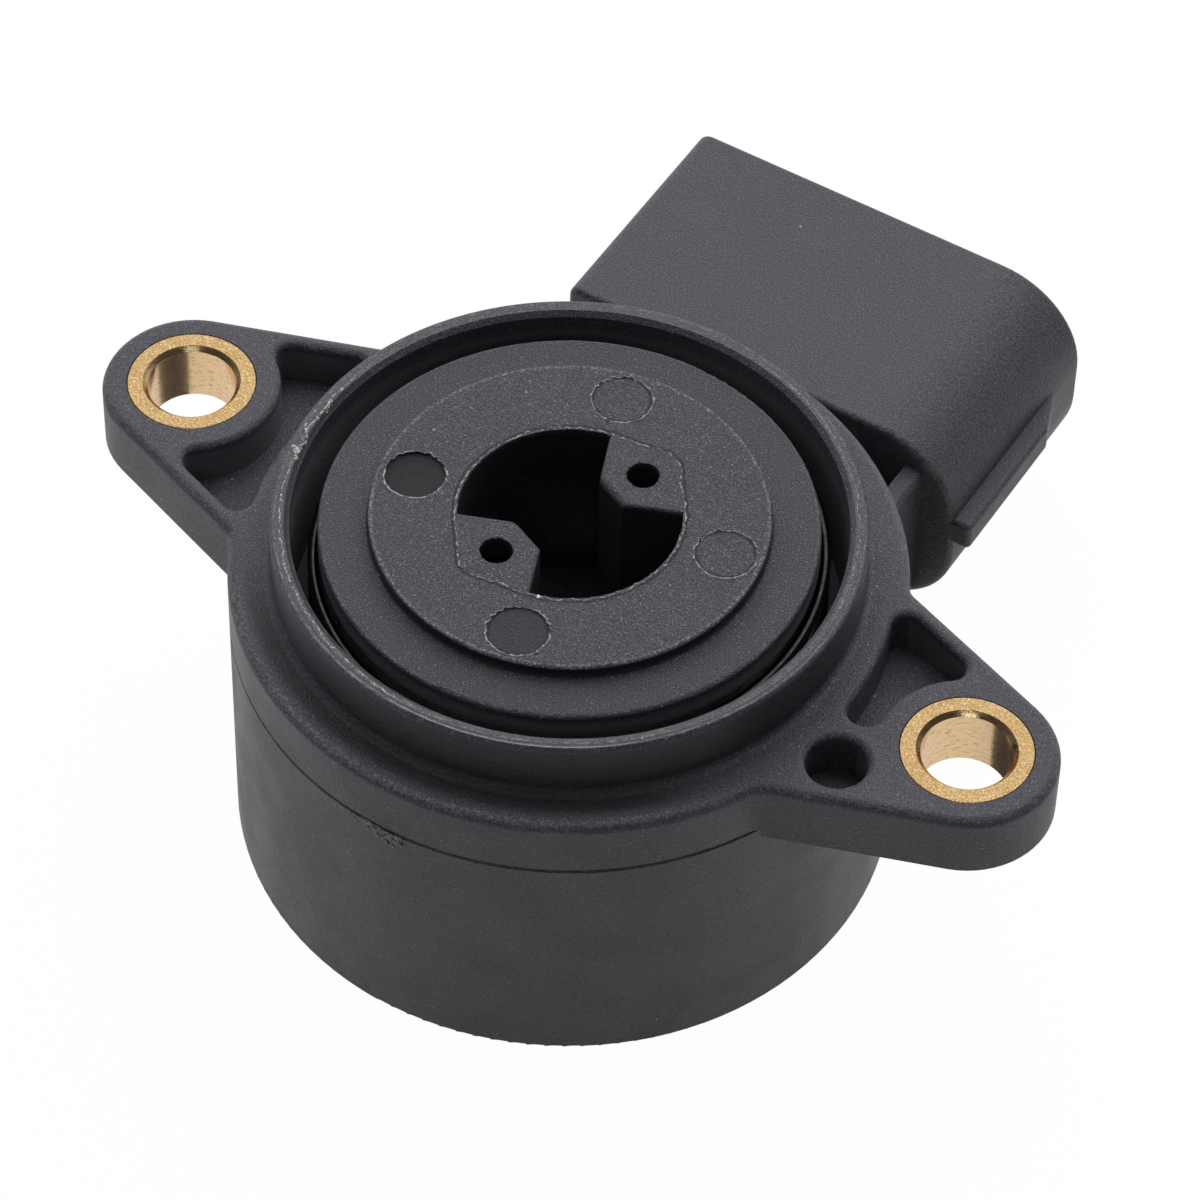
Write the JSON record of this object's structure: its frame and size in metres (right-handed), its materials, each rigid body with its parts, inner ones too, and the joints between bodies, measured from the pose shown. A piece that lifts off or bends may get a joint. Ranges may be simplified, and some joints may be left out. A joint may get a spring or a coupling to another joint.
{
  "type": "throttle position sensor",
  "caption": "Rotary throttle position sensor: round moulded housing with bushed mounting ears, a locating collar, a sprung drive rotor with a keyed socket, and a side plug connector.",
  "frame": {"origin": "on the rotor's axis at the flat bottom of the can", "axes": "+Z along the rotor's axis towards the drive socket, X through the two mounting ears, +Y out of the plug connector's mouth"},
  "size_m": [0.0624, 0.0575, 0.0245],
  "materials": {
    "housing_plastic": "fine spark-eroded texture, charcoal black",
    "rotor_plastic": "fine spark-eroded texture, charcoal black",
    "turned_brass": "turned, bright",
    "wiper_bronze": "rolled sheet",
    "spring_steel": "drawn wire",
    "washer_steel": "stamped",
    "board_laminate": "satin laminate",
    "carbon_film": "printed carbon",
    "silver_film": "printed silver",
    "tinned_brass": "tin plated",
    "solder": "bright solder"
  },
  "bodies": {
    "housing": {"mounting_flange": "housing_plastic", "left_bush": "turned_brass", "right_bush": "turned_brass", "sensor_can": "housing_plastic", "return_spring": "spring_steel", "thrust_washer": "washer_steel", "track_board": "board_laminate", "resistor_track": "carbon_film", "collector_track": "silver_film", "idle_contact": "silver_film", "terminal_1": "tinned_brass", "terminal_2": "tinned_brass", "terminal_3": "tinned_brass", "terminal_4": "tinned_brass", "solder_joints": "solder"},
    "rotor_group": {"rotor": "rotor_plastic", "wiper_carrier": "rotor_plastic", "throttle_wiper": "wiper_bronze", "idle_wiper": "wiper_bronze"}
  },
  "joints": [
    {"name": "rotor_turn", "type": "hinge", "parent": "housing", "child": "rotor_group", "pos_m": [0, 0, 0], "axis": [0, 0, 1], "range_deg": [0, 110], "stiffness_Nm_per_rad": 0.02, "springref_deg": -28.65, "deforming": ["return_spring"]}
  ]
}
